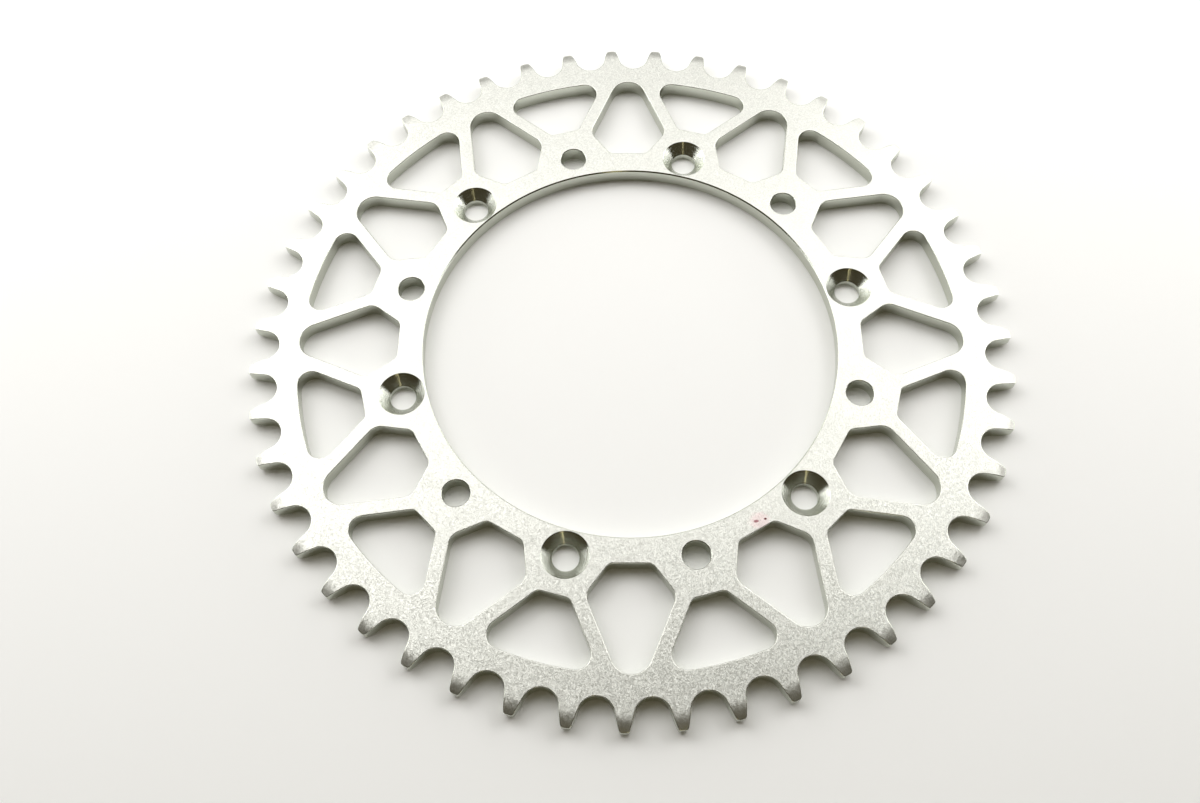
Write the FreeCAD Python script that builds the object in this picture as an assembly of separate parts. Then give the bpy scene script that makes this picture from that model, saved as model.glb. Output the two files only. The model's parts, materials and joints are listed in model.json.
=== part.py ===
"""Rear chain sprocket: one toothed steel plate, lightened by two rings of windows.

The frame's origin is the centre of the bolt circle on the underside, the face that
seats on the wheel hub.  +Z is the wheel's axle, towards the face that the countersunk
bolt heads sit in, and +X runs through the middle of a plain bolt hole.
Everything is in millimetres and degrees.
"""
import FreeCAD, Part
import math
import os

from FreeCAD import Vector

# Chain and teeth: one gullet lies in line with a countersunk hole.
chain_pitch = 15.875
roller_diameter = 10.16
tooth_count = 47
first_gullet_angle = 30.0
tooth_seat_radius = 5.28
tooth_seat_half_angle = 75.0
tooth_flank_radius = 60.0
tooth_tip_corner_radius = 1.0
tooth_relief_start_radius = 118.5
tooth_relief_arc_radius = 10.0

# Plate and bore.
plate_thickness = 5.5
bore_radius = 67.05
bore_chamfer = 0.4
window_chamfer = 0.3

# Bolt holes, alternately plain and countersunk on one circle.
bolt_circle_radius = 75.0
hole_step = 60.0
plain_hole_angle = 0.0
plain_hole_radius = 4.35
countersunk_hole_angle = 30.0
countersunk_hole_radius = 4.15
countersink_radius = 7.4
hole_chamfer = 0.2

# Windows: in each one's own plane x runs around the plate and y outwards from its centre.
window_step = 30.0
rim_inner_radius = 107.3
spoke_lean = 22.3

inner_window_angle = 15.0
inner_window_base = Vector(6.4, 75.05, 0)
inner_window_shoulder = Vector(13.45, 84.45, 0)
inner_window_base_fillet = 2.7
inner_window_shoulder_fillet = 4.5

outer_window_angle = 0.0
outer_window_foot = Vector(5.0, 87.33, 0)
outer_window_foot_fillet = 2.6
outer_window_corner_fillet = 4.3

# How far a cutter stands out of the plate.
cutter_overrun = 1.0

up = Vector(0, 0, 1)
pitch_radius = chain_pitch / 2 / math.sin(math.pi / tooth_count)
root_radius = pitch_radius - roller_diameter / 2
outside_radius = chain_pitch * (0.6 + 1 / math.tan(math.pi / tooth_count)) / 2
tooth_step = 360.0 / tooth_count


def direction(angle):
    """Unit vector in the plate's plane, at an angle from +X."""
    return Vector(math.cos(math.radians(angle)), math.sin(math.radians(angle)), 0)


def polar(radius, angle):
    """Point in the plate's plane, from its distance and angle about the axle."""
    return direction(angle) * radius


def arc_about(centre, radius, start_angle, end_angle):
    """Arc edge about a centre, from one angle to another."""
    angles = (start_angle, (start_angle + end_angle) / 2, end_angle)
    points = [centre + direction(angle) * radius for angle in angles]
    return Part.Arc(*points).toShape()


def mirrored(point):
    """The same point on the other side of a window's middle line."""
    return Vector(-point.x, point.y, 0)


def turned(shape, angle):
    """Copy of a shape, turned about the axle."""
    copy = shape.copy()
    copy.rotate(Vector(0, 0, 0), up, angle)
    return copy


def disc(radius, bottom, height, angle=0.0, distance=0.0):
    """Upright cylinder at a place on a circle about the axle."""
    return Part.makeCylinder(radius, height, polar(distance, angle) + up * bottom, up)


def face_cone(radius, depth, slope_height, distance=0.0, angle=0.0, top=True):
    """Cone of 90 degrees that breaks a round edge of the given radius on one face."""
    centre = polar(distance, angle)
    if top:
        start = centre + up * (plate_thickness - depth)
        return Part.makeCone(radius - depth, radius + slope_height, depth + slope_height, start, up)
    start = centre - up * slope_height
    return Part.makeCone(radius + slope_height, radius - depth, depth + slope_height, start, up)


def round_corner(before, corner, after, radius):
    """Fillet between two straight edges: its start, middle and end points."""
    to_before = (before - corner).normalize()
    to_after = (after - corner).normalize()
    half_angle = to_before.getAngle(to_after) / 2
    reach = radius / math.tan(half_angle)
    bisector = (to_before + to_after).normalize()
    centre = corner + bisector * (radius / math.sin(half_angle))
    return corner + to_before * reach, centre - bisector * radius, corner + to_after * reach


def window_prism(edges):
    """Solid cutter through the whole plate, from a window's outline."""
    wire = Part.Wire(Part.__sortEdges__(edges))
    face = Part.Face(wire)
    face.translate(up * -cutter_overrun)
    return face.extrude(up * (plate_thickness + 2 * cutter_overrun))


def tooth_flank():
    """One side of a gullet about +Y: its points from the roller seat to the tooth's tip.

    The flank's circle bulges into the gullet, and the tip's corner circle lies inside
    both the flank's circle and the outside circle.
    """
    seat_centre = Vector(0, root_radius + tooth_seat_radius, 0)
    seat_end_angle = tooth_seat_half_angle - 90
    seat_end = seat_centre + direction(seat_end_angle) * tooth_seat_radius
    flank_centre = seat_centre + direction(seat_end_angle) * (tooth_seat_radius + tooth_flank_radius)
    to_flank = flank_centre.Length
    reach = outside_radius - tooth_tip_corner_radius
    near = tooth_flank_radius - tooth_tip_corner_radius
    along = (to_flank ** 2 + reach ** 2 - near ** 2) / (2 * to_flank)
    across = math.sqrt(reach ** 2 - along ** 2)
    outward = Vector(flank_centre).normalize()
    corner_centre = outward * along + up.cross(outward) * across
    from_flank = (corner_centre - flank_centre).normalize()
    from_axle = Vector(corner_centre).normalize()
    flank_end = flank_centre + from_flank * tooth_flank_radius
    corner_end = from_axle * outside_radius
    flank_middle = flank_centre + (from_flank - direction(seat_end_angle)).normalize() * tooth_flank_radius
    corner_middle = corner_centre + (from_flank + from_axle).normalize() * tooth_tip_corner_radius
    return seat_end, flank_middle, flank_end, corner_middle, corner_end


def toothed_blank():
    """Plate with its whole outline of gullets and teeth, before anything else is cut."""
    points = tooth_flank()
    right = points[::-1]
    left = [mirrored(point) for point in points]
    seat_bottom = Vector(0, root_radius, 0)
    edges = []
    for i in range(tooth_count):
        angle = first_gullet_angle + i * tooth_step
        spin = FreeCAD.Rotation(up, angle - 90)
        next_spin = FreeCAD.Rotation(up, angle + tooth_step - 90)
        path = [spin.multVec(point) for point in (*right, seat_bottom, *left)]
        path += [polar(outside_radius, angle + tooth_step / 2), next_spin.multVec(right[0])]
        edges += [Part.Arc(*path[k : k + 3]).toShape() for k in range(0, len(path) - 2, 2)]
    return Part.Face(Part.Wire(edges)).extrude(up * plate_thickness)


def relief_body():
    """Turned body of the plate's whole section: both faces fall away in an arc near the tips."""
    top = plate_thickness
    run = outside_radius + cutter_overrun - tooth_relief_start_radius
    sweep = math.degrees(math.asin(run / tooth_relief_arc_radius))
    upper_centre = Vector(tooth_relief_start_radius, 0, top - tooth_relief_arc_radius)
    lower_centre = Vector(tooth_relief_start_radius, 0, tooth_relief_arc_radius)

    def section_point(centre, angle):
        """Point on a relief arc in the XZ plane, at an angle from straight outwards."""
        turn = math.radians(angle)
        return centre + Vector(math.cos(turn), 0, math.sin(turn)) * tooth_relief_arc_radius

    upper = [section_point(upper_centre, angle) for angle in (90, 90 - sweep / 2, 90 - sweep)]
    lower = [section_point(lower_centre, angle) for angle in (-90 + sweep, -90 + sweep / 2, -90)]
    edges = [
        Part.LineSegment(Vector(0, 0, 0), Vector(0, 0, top)).toShape(),
        Part.LineSegment(Vector(0, 0, top), upper[0]).toShape(),
        Part.Arc(*upper).toShape(),
        Part.LineSegment(upper[2], lower[0]).toShape(),
        Part.Arc(*lower).toShape(),
        Part.LineSegment(lower[2], Vector(0, 0, 0)).toShape(),
    ]
    return Part.Face(Part.Wire(edges)).revolve(Vector(0, 0, 0), up, 360)


def inner_window():
    """Kite-shaped window with a flat base and a round top, about +Y."""
    base = inner_window_base
    shoulder = inner_window_shoulder
    lean = math.radians(spoke_lean)
    side_offset = shoulder.x * math.cos(lean) + shoulder.y * math.sin(lean)
    top_radius = (side_offset - rim_inner_radius * math.sin(lean)) / (1 - math.sin(lean))
    top_centre = Vector(0, rim_inner_radius - top_radius, 0)
    side_end = top_centre + direction(spoke_lean) * top_radius
    base_left = mirrored(base)
    low = round_corner(base_left, base, shoulder, inner_window_base_fillet)
    high = round_corner(base, shoulder, side_end, inner_window_shoulder_fillet)
    edges = [arc_about(top_centre, top_radius, spoke_lean, 180 - spoke_lean)]
    edges.append(Part.LineSegment(mirrored(low[0]), low[0]).toShape())
    for flip in (Vector, mirrored):
        points = [flip(point) for point in (*low, *high, side_end)]
        edges.append(Part.Arc(*points[0:3]).toShape())
        edges.append(Part.LineSegment(points[2], points[3]).toShape())
        edges.append(Part.Arc(*points[3:6]).toShape())
        edges.append(Part.LineSegment(points[5], points[6]).toShape())
    return edges


def outer_window():
    """Window that widens outwards to the rim, with its sides parallel to the spokes, about +Y."""
    foot = outer_window_foot
    side_lean = spoke_lean + window_step / 2
    along = direction(90 - side_lean)
    inward = direction(180 - side_lean)
    fillet = outer_window_corner_fillet
    offset_start = foot + inward * fillet
    reach_squared = (rim_inner_radius - fillet) ** 2
    projection = offset_start.dot(along)
    travel = -projection + math.sqrt(projection ** 2 - offset_start.dot(offset_start) + reach_squared)
    corner_centre = offset_start + along * travel
    corner_start = corner_centre - inward * fillet
    outward = Vector(corner_centre).normalize()
    corner_end = corner_centre + outward * fillet
    corner_middle = corner_centre + (outward - inward).normalize() * fillet
    low = round_corner(mirrored(foot), foot, corner_start, outer_window_foot_fillet)
    top = Vector(0, rim_inner_radius, 0)
    edges = [Part.Arc(mirrored(corner_end), top, corner_end).toShape()]
    edges.append(Part.LineSegment(mirrored(low[0]), low[0]).toShape())
    for flip in (Vector, mirrored):
        points = [flip(point) for point in (*low, corner_start, corner_middle, corner_end)]
        edges.append(Part.Arc(*points[0:3]).toShape())
        edges.append(Part.LineSegment(points[2], points[3]).toShape())
        edges.append(Part.Arc(*points[3:6]).toShape())
    return edges


def windows():
    """Cutters for both rings of windows."""
    shapes = ((inner_window(), inner_window_angle), (outer_window(), outer_window_angle))
    cutters = []
    for edges, angle in shapes:
        prism = window_prism(edges)
        count = round(360 / window_step)
        cutters += [turned(prism, angle - 90 + i * window_step) for i in range(count)]
    return cutters


def bore_cutters():
    """Bore and the chamfer at each of its mouths."""
    height = plate_thickness + 2 * cutter_overrun
    cutters = [disc(bore_radius, -cutter_overrun, height)]
    for top in (True, False):
        cutters.append(face_cone(bore_radius + bore_chamfer, bore_chamfer, cutter_overrun, top=top))
    return cutters


def bolt_hole(angle, radius, top_radius):
    """Through hole with a cone on the top face and a small broken edge underneath."""
    height = plate_thickness + 2 * cutter_overrun
    place = {"distance": bolt_circle_radius, "angle": angle}
    return [
        disc(radius, -cutter_overrun, height, **place),
        face_cone(top_radius, top_radius - radius, cutter_overrun, **place),
        face_cone(radius + hole_chamfer, hole_chamfer, cutter_overrun, top=False, **place),
    ]


def bolt_holes():
    """Cutters for six plain holes and, between them, six countersunk ones."""
    plain_mouth = plain_hole_radius + hole_chamfer
    cutters = []
    for i in range(round(360 / hole_step)):
        turn = i * hole_step
        cutters += bolt_hole(turn + plain_hole_angle, plain_hole_radius, plain_mouth)
        cutters += bolt_hole(turn + countersunk_hole_angle, countersunk_hole_radius, countersink_radius)
    return cutters


def window_edges(plate):
    """The windows' edges on the two faces."""
    found = []
    for edge in plate.Edges:
        box = edge.BoundBox
        flat = box.ZLength < 1e-6 and min(abs(box.ZMin), abs(box.ZMin - plate_thickness)) < 1e-6
        middle = edge.valueAt((edge.FirstParameter + edge.LastParameter) / 2)
        radius = math.hypot(middle.x, middle.y)
        if flat and bore_radius + bore_chamfer + 1 < radius < rim_inner_radius + 1:
            found.append(edge)
    return found


def sprocket_plate():
    """The whole sprocket, cut and turned from one plate."""
    plate = toothed_blank().common(relief_body())
    plate = plate.cut(windows())
    plate = plate.makeChamfer(window_chamfer, window_edges(plate))
    plate = plate.cut(bore_cutters() + bolt_holes())
    return plate.Solids[0]


os.makedirs("parts", exist_ok=True)
plate = sprocket_plate()
plate.exportStep("parts/sprocket_plate.step")
box = plate.optimalBoundingBox(True, False)
size = [round(length, 2) for length in (box.XLength, box.YLength, box.ZLength)]
print("solids", len(plate.Solids), "valid", plate.isValid(), "faces", len(plate.Faces))
print("volume in cubic centimetres", round(plate.Volume / 1000, 2), "size", size)
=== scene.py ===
"""A rear chain sprocket lying on a pale table, in metres, around its CAD model.

The plate's lengths are worked out in millimetres and its angles in degrees, and both are
turned into metres and radians where a mesh, a light or the camera is made.
"""
import json

import bpy
import numpy as np
from mathutils import Matrix, Vector
from mathutils.geometry import delaunay_2d_cdt


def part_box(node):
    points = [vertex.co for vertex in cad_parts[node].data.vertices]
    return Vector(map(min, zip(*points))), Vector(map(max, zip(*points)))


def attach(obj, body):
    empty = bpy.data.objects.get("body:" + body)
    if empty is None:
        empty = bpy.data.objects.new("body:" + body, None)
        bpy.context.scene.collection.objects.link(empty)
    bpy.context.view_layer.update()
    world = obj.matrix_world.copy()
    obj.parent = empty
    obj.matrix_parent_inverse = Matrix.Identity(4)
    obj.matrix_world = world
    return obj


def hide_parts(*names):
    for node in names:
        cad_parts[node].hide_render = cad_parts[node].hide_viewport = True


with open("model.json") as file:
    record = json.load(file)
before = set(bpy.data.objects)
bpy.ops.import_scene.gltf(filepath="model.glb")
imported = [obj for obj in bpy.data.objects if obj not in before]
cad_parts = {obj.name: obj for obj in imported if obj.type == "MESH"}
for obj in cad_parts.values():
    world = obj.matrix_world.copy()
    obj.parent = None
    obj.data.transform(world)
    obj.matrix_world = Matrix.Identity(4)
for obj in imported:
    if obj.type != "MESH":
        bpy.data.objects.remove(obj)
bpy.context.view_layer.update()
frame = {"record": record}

MM = 0.001


# ---------------------------------------------------------------- the camera
# It stands over the table on the far side of the -X edge and looks down at the plate
# from about 64 degrees, close enough that the near teeth look larger than the far ones.

plate_low, plate_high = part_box("sprocket_plate")
thickness = (plate_high.z - plate_low.z) / MM
camera_target = Vector((-19.11, 14.87, thickness)) * MM
camera_distance = 344.2 * MM
camera_bearing = 167.4
camera_elevation = 64.39
camera_roll = -2.26
camera_lens = 32.78


def heading(bearing, elevation):
    """Unit vector at a bearing from +X and an elevation above the table, in degrees."""
    turn, rise = np.radians((bearing, elevation))
    return Vector((np.cos(turn) * np.cos(rise), np.sin(turn) * np.cos(rise), np.sin(rise)))


def aim(obj, target, direction, distance, roll=0.0):
    """Puts an object at a distance from a target, with its -Z axis on the target.

    Its Y axis is as upright as it can be, then turned by roll degrees about the view line.
    """
    side = Vector((0, 0, 1)).cross(direction).normalized()
    axes = Matrix((side, direction.cross(side), direction)).transposed().to_4x4()
    spin = Matrix.Rotation(np.radians(roll), 4, "Z")
    obj.matrix_world = Matrix.Translation(target + direction * distance) @ axes @ spin


camera = bpy.data.objects.new("camera", bpy.data.cameras.new("camera"))
bpy.context.scene.collection.objects.link(camera)
bpy.context.scene.camera = camera
camera.data.sensor_width = 36
camera.data.lens = camera_lens
camera.data.clip_start = 0.01
aim(camera, camera_target, heading(camera_bearing, camera_elevation), camera_distance, camera_roll)


# ---------------------------------------------------------------- the sprocket plate: outlines
# The real sprocket is one flat steel plate.  Its teeth, windows, bore and bolt holes are
# cut right through it, so each of them is a path in the plate's plane.  A path row holds
# x, y and the direction (x, y) into the metal, and the metal lies on the path's right.

chain_pitch = 15.875
roller_diameter = 10.16
tooth_count = 47
first_gullet = 30.0
seat_radius = 5.28
seat_half_angle = 75.0
flank_radius = 60.0
tip_corner_radius = 1.0
tooth_step = 360 / tooth_count
pitch_radius = chain_pitch / 2 / np.sin(np.pi / tooth_count)
root_radius = pitch_radius - roller_diameter / 2
outside_radius = chain_pitch * (0.6 + 1 / np.tan(np.pi / tooth_count)) / 2

window_step = 30.0
rim_inner_radius = 107.3
spoke_lean = 22.3
inner_base = np.array((6.4, 75.05))
inner_shoulder = np.array((13.45, 84.45))
inner_base_fillet = 2.7
inner_shoulder_fillet = 4.5
outer_foot = np.array((5.0, 87.33))
outer_foot_fillet = 2.6
outer_corner_fillet = 4.3

mounts = {mount["name"]: mount["dims"] for mount in frame["record"]["mounts"]}
bore_radius = mounts["hub_bore"]["r_mm"]
bolt_circle_radius = mounts["plain_bolts"]["pcd_mm"] / 2
plain_hole_radius = mounts["plain_bolts"]["hole_r_mm"]
countersunk_hole_radius = mounts["countersunk_bolts"]["hole_r_mm"]
hole_step = 60.0
countersunk_turn = 30.0


def unit(angle):
    """Unit vector (cos, sin) of an angle in degrees; an array of angles gives one row each."""
    turn = np.radians(angle)
    return np.stack([np.cos(turn), np.sin(turn)], axis=-1)


def arc_run(centre, radius, start, end, steps, metal=1):
    """Path along an arc: centre plus radius times the unit vector of evenly spaced angles.

    The metal lies outside the arc's circle where metal is 1, and inside it where it is -1.
    """
    out = unit(np.linspace(start, end, steps + 1))
    return np.hstack([centre + radius * out, metal * out])


def angle_of(vector):
    """Angle of a vector from +X, in degrees."""
    return np.degrees(np.arctan2(vector[1], vector[0]))


def spun(path, angle):
    """The path turned about the axle: points and directions times one rotation matrix."""
    turn = np.radians(angle)
    matrix = np.array([[np.cos(turn), np.sin(turn)], [-np.sin(turn), np.cos(turn)]])
    return (path.reshape(-1, 2) @ matrix).reshape(-1, 4)


def both_sides(half):
    """Whole outline from its right half: the half, then its mirror image in reverse."""
    return np.vstack([half, (half * (-1, 1, -1, 1))[::-1]])


def joined(runs):
    """One closed path from runs laid end to end, without the points that fall together."""
    path = np.vstack(runs)
    gap = np.linalg.norm(path[:, :2] - np.roll(path[:, :2], 1, axis=0), axis=1)
    return path[gap > 0.001]


def fillet_centre(corner, angles, radius):
    """Centre of the circle that touches both sides of a corner from within.

    A side is the line whose outward normal is at one of the angles, so the centre solves
    normal . centre = normal . corner - radius for both sides at once.
    """
    normals = unit(np.array(angles))
    return np.linalg.solve(normals, normals @ corner - radius)


def circle_path(radius, steps):
    """Path round a circle about the origin, counter-clockwise, with the metal outside it."""
    return joined([arc_run(np.zeros(2), radius, 0, 360, steps)])


def tooth_path():
    """Path round all the teeth, clockwise so that the metal stays on its right.

    Each half gullet is a roller seat, a flank that bulges into the gullet, the tooth
    tip's rounded corner, and half of the tip's land on the outside circle.
    """
    seat = np.array((0, root_radius + seat_radius))
    seat_end = seat_half_angle - 90
    flank = seat + (seat_radius + flank_radius) * unit(seat_end)
    reach = outside_radius - tip_corner_radius
    near = flank_radius - tip_corner_radius
    away = np.linalg.norm(flank)
    along = (away**2 + reach**2 - near**2) / (2 * away)
    across = np.sqrt(reach**2 - along**2)
    outward = flank / away
    corner = outward * along + np.array((-outward[1], outward[0])) * across
    from_flank = angle_of(corner - flank)
    half = np.vstack([
        arc_run(seat, seat_radius, -90, seat_end, 8),
        arc_run(flank, flank_radius, seat_end + 180, from_flank, 5, metal=-1),
        arc_run(corner, tip_corner_radius, from_flank, angle_of(corner), 4, metal=-1),
        arc_run(np.zeros(2), outside_radius, angle_of(corner), 90 - tooth_step / 2, 2, metal=-1),
    ])
    gullet = both_sides(half[::-1])
    turns = first_gullet - 90 + tooth_step * np.arange(tooth_count)
    return joined([spun(gullet, turn) for turn in turns])[::-1]


def inner_window_path():
    """Kite-shaped window between two spokes, about +Y: flat base, two shoulders, round top."""
    low_side = -90 + angle_of(inner_shoulder - inner_base)
    side_offset = unit(spoke_lean) @ inner_shoulder
    lean_sine = np.sin(np.radians(spoke_lean))
    top_radius = (side_offset - rim_inner_radius * lean_sine) / (1 - lean_sine)
    top = np.array((0, rim_inner_radius - top_radius))
    base = fillet_centre(inner_base, (-90, low_side), inner_base_fillet)
    shoulder = fillet_centre(inner_shoulder, (low_side, spoke_lean), inner_shoulder_fillet)
    half = np.vstack([
        arc_run(base, inner_base_fillet, -90, low_side, 8),
        arc_run(shoulder, inner_shoulder_fillet, low_side, spoke_lean, 8),
        arc_run(top, top_radius, spoke_lean, 90, 10),
    ])
    return joined([both_sides(half)])


def outer_window_path():
    """Window that widens from its foot to the rim, with its sides along the spokes, about +Y."""
    side = -(spoke_lean + window_step / 2)
    foot = fillet_centre(outer_foot, (-90, side), outer_foot_fillet)
    along = unit(side + 90)
    start = outer_foot - outer_corner_fillet * unit(side)
    reach = rim_inner_radius - outer_corner_fillet
    travel = -start @ along + np.sqrt((start @ along) ** 2 - start @ start + reach**2)
    corner = start + along * travel
    half = np.vstack([
        arc_run(foot, outer_foot_fillet, -90, side, 8),
        arc_run(corner, outer_corner_fillet, side, angle_of(corner), 11),
        arc_run(np.zeros(2), rim_inner_radius, angle_of(corner), 90, 6),
    ])
    return joined([both_sides(half)])


# ---------------------------------------------------------------- the sprocket plate: surfaces
# The plate is sheared and bored, its edges are broken, six holes are countersunk for
# flush bolt heads, and both faces are turned away towards the tooth tips so that the
# chain's side plates slide on.  Then the whole plate is zinc plated.

tooth_edge_radius = 0.22
window_edge_radius = 0.32
bore_chamfer = 0.4
hole_chamfer = 0.2
countersink_radius = 7.4
arris_radius = 0.05
land = 0.02
relief_start = 118.5
relief_radius = 10.0
rim_inner_circle = 110.0
bore_steps = 300
hole_steps = 66


def rounded(corners, reach, steps=5):
    """Profile through corners, with each inner corner turned into a short smooth curve.

    The curve is the quadratic one from a reach before the corner to a reach after it.
    """
    corners = np.array(corners, float)
    share = np.linspace(0, 1, steps + 1)[:, None]
    pieces = [corners[:1]]
    for before, corner, after in zip(corners, corners[1:], corners[2:]):
        back = (before - corner) / np.linalg.norm(before - corner) * reach
        ahead = (after - corner) / np.linalg.norm(after - corner) * reach
        pieces.append(corner + back * (1 - share) ** 2 + ahead * share**2)
    return np.vstack([*pieces, corners[-1:]])


def through_profile(top_break, low_break, reach):
    """Profile down a wall, as depth into the metal and height: face, break, wall, break, face."""
    return rounded([
        (top_break + reach + land, thickness), (top_break, thickness), (0, thickness - top_break),
        (0, low_break), (low_break, 0), (low_break + reach + land, 0),
    ], reach)


def carried(path, profile):
    """Grid of points: path point plus depth times the direction into the metal, at each height.

    Rows follow the path and columns follow the profile.
    """
    depth, height = profile.T
    flat = path[:, None, :2] + path[:, None, 2:] * depth[None, :, None]
    heights = np.broadcast_to(height, flat.shape[:2])
    return np.dstack([flat, heights])


def relieved(points):
    """Heights pressed towards the middle of the plate where the teeth are turned thinner.

    Beyond the start radius each face drops by an arc's sagitta, radius minus the root of
    radius squared minus run squared, and the height scales about the plate's middle.
    """
    middle = thickness / 2
    run = np.clip(np.hypot(points[..., 0], points[..., 1]) - relief_start, 0, None)
    drop = relief_radius - np.sqrt(relief_radius**2 - run**2)
    relief = points.copy()
    relief[..., 2] = middle + (points[..., 2] - middle) * (middle - drop) / middle
    return relief


def rim_grid():
    """Grid over the rim: in from the rim's circle to the teeth, round the edge and back.

    The face columns share each row's line from the circle to the tooth edge, at the same
    angle about the axle, and the shares crowd towards the tooth where the relief curves.
    """
    edge = rounded([
        (tooth_edge_radius + land, thickness), (0, thickness), (0, 0), (tooth_edge_radius + land, 0),
    ], tooth_edge_radius)
    wall = carried(tooth_path(), edge)
    start = wall[:, 0, :2]
    circle = rim_inner_circle * start / np.linalg.norm(start, axis=1)[:, None]
    share = np.array((0, 0.35, 0.6, 0.68, 0.76, 0.84, 0.92))[None, :, None]
    face = circle[:, None] + (start - circle)[:, None] * share
    top = np.dstack([face, np.full(face.shape[:2], thickness)])
    low = np.dstack([face, np.zeros(face.shape[:2])])[:, ::-1]
    return relieved(np.concatenate([top, wall, low], axis=1))


ROLLED, CUT, TURNED = range(3)
grids = []


def add_grid(points, slope=CUT, wall=CUT):
    """Lists a closed grid of the plate's skin, with each column's finish.

    A column is a wall where it is steep, a slope where it leans, and else rolled face.
    """
    step = np.diff(points, axis=1)
    rise = np.abs(step[..., 2]).max(axis=0) / np.linalg.norm(step, axis=2).max(axis=0)
    finish = np.select([rise > 0.95, rise > 0.5], [wall, slope], ROLLED)
    grids.append((points, finish))


def hole_path(radius, angle):
    """Circle on the bolt circle, turned about the axle to the hole's angle."""
    path = circle_path(radius, hole_steps)
    path[:, 0] += bolt_circle_radius
    return spun(path, angle)


add_grid(rim_grid())

window_edge = rounded([
    (window_edge_radius + land, thickness), (0, thickness), (0, 0), (window_edge_radius + land, 0),
], window_edge_radius)
for turn in np.arange(0, 360, window_step) - 90:
    add_grid(carried(spun(outer_window_path(), turn), window_edge))
    add_grid(carried(spun(inner_window_path(), turn + window_step / 2), window_edge))

bore_edge = through_profile(bore_chamfer, bore_chamfer, arris_radius)
add_grid(carried(circle_path(bore_radius, bore_steps), bore_edge), slope=TURNED)

plain_edge = through_profile(hole_chamfer, hole_chamfer, arris_radius)
countersink = through_profile(countersink_radius - countersunk_hole_radius, hole_chamfer, arris_radius)
for turn in np.arange(0, 360, hole_step):
    add_grid(carried(hole_path(plain_hole_radius, turn), plain_edge))
    countersunk = hole_path(countersunk_hole_radius, turn + countersunk_turn)
    add_grid(carried(countersunk, countersink), slope=TURNED, wall=TURNED)


def skin(points, first):
    """Corner numbers of a closed grid's quads, with the grid's own points numbered from first."""
    here = first + np.arange(points.shape[0] * points.shape[1]).reshape(points.shape[:2])
    ahead = np.roll(here, -1, axis=0)
    corners = (here[:, :-1], ahead[:, :-1], ahead[:, 1:], here[:, 1:])
    return here, np.stack(corners, axis=-1).reshape(-1, 4)


def flat_face(loops, points):
    """Triangles of the plane between the first loop, the rim, and the others, the holes in it.

    Every hole is convex, so a triangle lies in one if all its corners are on that hole's loop.
    """
    ids = np.concatenate(loops)
    sizes = [len(loop) for loop in loops]
    ends = np.cumsum(sizes)
    ahead = np.arange(len(ids)) + 1
    ahead[ends - 1] = np.concatenate([[0], ends[:-1]])
    edges = np.stack([np.arange(len(ids)), ahead], axis=1)
    flat = [Vector(point) for point in points[ids, :2]]
    _, _, triangles, origins, _, _ = delaunay_2d_cdt(flat, edges.tolist(), [], 0, 1e-6)
    triangles = np.array([origin[0] for origin in origins])[np.array(triangles)]
    loop = np.repeat(np.arange(len(loops)), sizes)[triangles]
    in_hole = (loop == loop[:, :1]).all(axis=1) & (loop[:, 0] > 0)
    return ids[triangles[~in_hole]]


all_points, quads, finishes, runs, top_loops, low_loops = [], [], [], [], [], []
count = 0
for points, finish in grids:
    here, corners = skin(points, count)
    count += here.size
    length = np.linalg.norm(np.diff(points, axis=1), axis=2)
    runs.append(np.pad(np.cumsum(length, axis=1), ((0, 0), (1, 0))).ravel())
    all_points.append(points.reshape(-1, 3))
    quads.append(corners)
    finishes.append(np.tile(finish, len(points)))
    top_loops.append(here[:, 0])
    low_loops.append(here[:, -1])
all_points = np.vstack(all_points)
top_face = flat_face(top_loops, all_points)
low_face = flat_face(low_loops, all_points)[:, ::-1]

plate_mesh = bpy.data.meshes.new("sprocket_plate_finished")
faces = [*np.vstack(quads).tolist(), *top_face.tolist(), *low_face.tolist()]
plate_mesh.from_pydata(all_points * MM, [], faces)
flat_count = len(top_face) + len(low_face)
finish = np.concatenate([*finishes, np.full(flat_count, ROLLED)])
plate_mesh.polygons.foreach_set("material_index", finish.astype(np.int32))
plate_mesh.polygons.foreach_set("use_smooth", np.ones(len(faces), bool))
plate_mesh.attributes.new("profile_run", "FLOAT", "POINT").data.foreach_set("value", np.concatenate(runs))
plate_mesh.update()
plate = bpy.data.objects.new("sprocket_plate_finished", plate_mesh)
bpy.context.scene.collection.objects.link(plate)
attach(plate, "root")
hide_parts("sprocket_plate")


# ---------------------------------------------------------------- the sprocket plate: finish
# Bright zinc over rolled steel: the faces keep the sheet's fine grain, on which the zinc
# grows in tiny crystals that tilt the light.  Cut walls have fine upright lines, and the
# countersinks and chamfers have the rings that a lathe or a countersink bit leaves.

def new_material(name, colour, roughness):
    """Metal material with a constant colour and roughness; returns it with its nodes and shader."""
    material = bpy.data.materials.new(name)
    material.use_nodes = True
    shader = material.node_tree.nodes["Principled BSDF"]
    shader.inputs["Base Color"].default_value = (*colour, 1)
    shader.inputs["Metallic"].default_value = 1
    shader.inputs["Roughness"].default_value = roughness
    return material, material.node_tree, shader


def add_node(tree, kind, links=(), **settings):
    """New node with its settings; links pairs one of its inputs with another node's output."""
    made = tree.nodes.new(kind)
    for name, value in settings.items():
        setattr(made, name, value)
    for name, source in links:
        target = made.inputs[name]
        if isinstance(source, bpy.types.NodeSocket):
            tree.links.new(source, target)
        else:
            target.default_value = source
    return made


def spread(tree, source, low, high):
    """The value 0 to 1 of a source, stretched to run from low to high."""
    links = [("Value", source), ("To Min", low), ("To Max", high)]
    return add_node(tree, "ShaderNodeMapRange", links).outputs["Result"]


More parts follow.
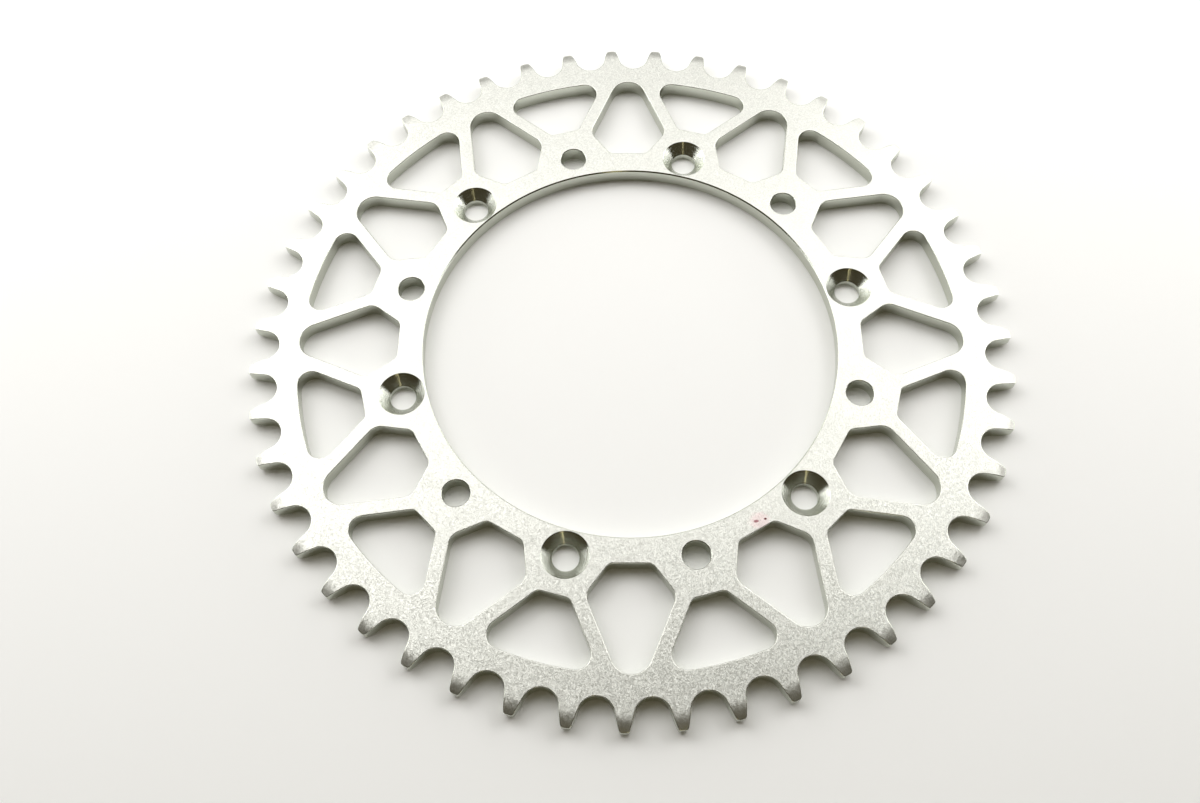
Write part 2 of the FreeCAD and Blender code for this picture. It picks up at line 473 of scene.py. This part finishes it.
def paint_mask(tree, place, centre, half_size):
    """The value 1 inside a small ragged patch on the top face and 0 outside it.

    The distance is the length of (place - centre) / half size.  Noise adds about a half to
    it, so the patch fades out as the sum goes from 1.2 to 1.7.
    """
    middle = Vector((*centre, thickness)) * MM
    reach = Vector((*half_size, paint_depth)) * MM
    ragged = add_node(tree, "ShaderNodeTexNoise", [("Vector", place), ("Scale", 1500.0), ("Detail", 2.0)])
    away = add_node(tree, "ShaderNodeVectorMath", [(0, place), (1, middle)], operation="SUBTRACT")
    scaled = add_node(tree, "ShaderNodeVectorMath", [(0, away.outputs[0]), (1, reach)], operation="DIVIDE")
    length = add_node(tree, "ShaderNodeVectorMath", [(0, scaled.outputs[0])], operation="LENGTH")
    uneven = add_node(tree, "ShaderNodeMath", [(0, length.outputs["Value"]), (1, ragged.outputs["Fac"])],
                      operation="ADD")
    return add_node(tree, "ShaderNodeMapRange", [
        ("Value", uneven.outputs[0]), ("From Min", 1.2), ("From Max", 1.7), ("To Min", 1.0), ("To Max", 0.0),
    ]).outputs["Result"]


zinc_colour = (0.64, 0.64, 0.595)
paint_depth = 1.0
paint_marks = {
    "pink smear": ((-69.6, -21.2), (2.6, 3.0), (0.66, 0.57, 0.55, 1)),
    "mauve spot": ((-69.6, -20.2), (0.45, 0.8), (0.30, 0.15, 0.16, 1)),
    "red spot": ((-69.6, -23.0), (0.35, 0.5), (0.10, 0.03, 0.03, 1)),
}


def rolled_zinc():
    """The faces: zinc crystals under half a millimetre across, over slow cloudy patches.

    Each crystal leans by a small random part of its cell's colour.  Two small spots of old
    reddish paint on a pale pink smear lie near one bolt hole.
    """
    material, tree, shader = new_material("zinc_over_rolled_steel", zinc_colour, 0.4)
    place = add_node(tree, "ShaderNodeTexCoord").outputs["Object"]
    crystals = add_node(tree, "ShaderNodeTexVoronoi", [("Vector", place), ("Scale", 3600.0)])
    grain = add_node(tree, "ShaderNodeTexNoise", [("Vector", place), ("Scale", 3400.0), ("Detail", 3.0)])
    cloud = add_node(tree, "ShaderNodeTexNoise", [("Vector", place), ("Scale", 160.0), ("Detail", 2.0)])
    tilt = add_node(tree, "ShaderNodeVectorMath", [(0, crystals.outputs["Color"]), (1, (0.5, 0.5, 0.5))],
                    operation="SUBTRACT")
    small = add_node(tree, "ShaderNodeVectorMath", [(0, tilt.outputs[0]), ("Scale", 0.17)],
                     operation="SCALE")
    normal = add_node(tree, "ShaderNodeNewGeometry").outputs["Normal"]
    leaning = add_node(tree, "ShaderNodeVectorMath", [(0, normal), (1, small.outputs[0])], operation="ADD")
    unit_normal = add_node(tree, "ShaderNodeVectorMath", [(0, leaning.outputs[0])], operation="NORMALIZE")
    bump = add_node(tree, "ShaderNodeBump", [
        ("Height", grain.outputs["Fac"]), ("Normal", unit_normal.outputs[0]),
        ("Strength", 0.32), ("Distance", 0.0001),
    ])
    tree.links.new(bump.outputs["Normal"], shader.inputs["Normal"])
    tree.links.new(spread(tree, cloud.outputs["Fac"], 0.36, 0.46), shader.inputs["Roughness"])
    shade = spread(tree, crystals.outputs["Color"], 0.84, 1.12)
    colour = add_node(tree, "ShaderNodeVectorMath", [(0, zinc_colour), ("Scale", shade)],
                      operation="SCALE").outputs[0]
    for centre, half_size, paint in paint_marks.values():
        mask = paint_mask(tree, place, centre, half_size)
        colour = add_node(tree, "ShaderNodeMixRGB", [
            ("Fac", mask), ("Color1", colour), ("Color2", paint),
        ]).outputs["Color"]
    tree.links.new(colour, shader.inputs["Base Color"])
    return material


def cut_steel():
    """Walls cut through the plate: fine lines that run straight down the wall."""
    material, tree, shader = new_material("zinc_over_cut_wall", (0.62, 0.64, 0.57), 0.16)
    place = add_node(tree, "ShaderNodeTexCoord").outputs["Object"]
    upright = add_node(tree, "ShaderNodeMapping", [("Vector", place), ("Scale", (1.0, 1.0, 0.02))])
    lines = add_node(tree, "ShaderNodeTexNoise", [
        ("Vector", upright.outputs["Vector"]), ("Scale", 2200.0), ("Detail", 2.0),
    ])
    bump = add_node(tree, "ShaderNodeBump", [
        ("Height", lines.outputs["Fac"]), ("Strength", 0.35), ("Distance", 0.0001),
    ])
    tree.links.new(bump.outputs["Normal"], shader.inputs["Normal"])
    return material


def turned_steel():
    """Countersinks and chamfers: rings at each distance down the profile."""
    material, tree, shader = new_material("zinc_over_turned_steel", (0.66, 0.68, 0.61), 0.16)
    run = add_node(tree, "ShaderNodeAttribute", attribute_name="profile_run").outputs["Fac"]
    rings = add_node(tree, "ShaderNodeTexNoise", [("W", run), ("Scale", 14.0), ("Detail", 2.0)],
                     noise_dimensions="1D")
    bump = add_node(tree, "ShaderNodeBump", [
        ("Height", rings.outputs["Fac"]), ("Strength", 0.3), ("Distance", 0.0001),
    ])
    tree.links.new(bump.outputs["Normal"], shader.inputs["Normal"])
    return material


for material in (rolled_zinc(), cut_steel(), turned_steel()):
    plate_mesh.materials.append(material)


# ---------------------------------------------------------------- the table
# A plain pale table top under the plate, far larger than it, with a dull painted finish.

table_half_width = 3.0
table_colour = (0.97, 0.965, 0.95)


def pale_table():
    """Square sheet at the height of the plate's underside, for the plate to lie on."""
    corners = np.array(((-1, -1), (1, -1), (1, 1), (-1, 1))) * table_half_width
    mesh = bpy.data.meshes.new("table")
    mesh.from_pydata(np.hstack([corners, np.full((4, 1), plate_low.z)]), [], [(0, 1, 2, 3)])
    material = bpy.data.materials.new("pale_table")
    material.use_nodes = True
    shader = material.node_tree.nodes["Principled BSDF"]
    shader.inputs["Base Color"].default_value = (*table_colour, 1)
    shader.inputs["Roughness"].default_value = 0.85
    mesh.materials.append(material)
    table = bpy.data.objects.new("table", mesh)
    bpy.context.scene.collection.objects.link(table)


pale_table()


# ---------------------------------------------------------------- the light
# Soft boxes stand round the far side: two high ones light the faces, and those at the ends
# and near the table light the walls and the table.  The dome between them is grey on the
# far side and a dim olive behind the camera, where one narrow warm strip stands.

far_side = camera_bearing + 180


def soft_box(name, bearing, elevation, distance, width, height, watts, colour=(1, 1, 1)):
    """Rectangular area light that faces the plate's centre from a bearing and an elevation."""
    light = bpy.data.lights.new(name, "AREA")
    light.shape = "RECTANGLE"
    light.size = width
    light.size_y = height
    light.energy = watts
    light.color = colour
    box = bpy.data.objects.new(name, light)
    box.visible_camera = False
    bpy.context.scene.collection.objects.link(box)
    aim(box, Vector((0, 0, 0)), heading(bearing, elevation), distance)


soft_box("far_left_box", far_side + 34, 62, 0.8, 0.75, 0.54, 2.2)
soft_box("far_right_box", far_side - 43, 58, 0.8, 0.6, 0.48, 1.05)
for side in (-1, 1):
    soft_box("end_box", far_side + side * 58, 38, 0.8, 0.6, 0.4, 2.1)
    soft_box("low_box", far_side + side * 62, 9, 0.7, 0.9, 0.22, 1.5)
soft_box("far_low_box", far_side, 30, 0.6, 1.0, 0.2, 0.4)
soft_box("warm_strip", camera_bearing + 4, 24, 1.1, 0.03, 0.8, 0.25, (1.0, 0.88, 0.5))


def studio_dome():
    """World light by its angle from the far side: grey there, dim and olive behind the camera.

    Below the table's height it is pale all round, and the camera itself sees an even pale
    backdrop instead.
    """
    world = bpy.data.worlds.new("studio")
    world.use_nodes = True
    bpy.context.scene.world = world
    tree = world.node_tree
    tree.nodes.clear()
    direction = add_node(tree, "ShaderNodeTexCoord").outputs["Generated"]
    nearness = add_node(tree, "ShaderNodeVectorMath", [(0, direction), (1, heading(far_side, 40))],
                        operation="DOT_PRODUCT")
    ramp = add_node(tree, "ShaderNodeValToRGB", [("Fac", nearness.outputs["Value"])])
    stops = ((0.0, (0.055, 0.046, 0.027)), (0.55, (0.085, 0.074, 0.04)), (0.8, (0.22, 0.215, 0.18)),
             (1.0, (0.33, 0.33, 0.32)))
    for place, colour in stops[1:-1]:
        ramp.color_ramp.elements.new(place)
    for element, (place, colour) in zip(ramp.color_ramp.elements, stops):
        element.position = place
        element.color = (*colour, 1)
    below = add_node(tree, "ShaderNodeVectorMath", [(0, direction), (1, (0, 0, -1))],
                     operation="DOT_PRODUCT")
    depth = add_node(tree, "ShaderNodeMapRange", [
        ("Value", below.outputs["Value"]), ("From Min", 0.02), ("From Max", 0.1),
    ])
    whole = add_node(tree, "ShaderNodeMixRGB", [
        ("Fac", depth.outputs["Result"]), ("Color1", ramp.outputs["Color"]), ("Color2", (0.8, 0.8, 0.78, 1)),
    ])
    light = add_node(tree, "ShaderNodeBackground", [("Color", whole.outputs["Color"])])
    seen = add_node(tree, "ShaderNodeBackground", [("Color", (0.93, 0.93, 0.92, 1))])
    ray = add_node(tree, "ShaderNodeLightPath").outputs["Is Camera Ray"]
    mix = add_node(tree, "ShaderNodeMixShader", [
        ("Fac", ray), (1, light.outputs[0]), (2, seen.outputs[0]),
    ])
    add_node(tree, "ShaderNodeOutputWorld", [("Surface", mix.outputs[0])])


studio_dome()
bpy.context.scene.view_settings.view_transform = "Standard"
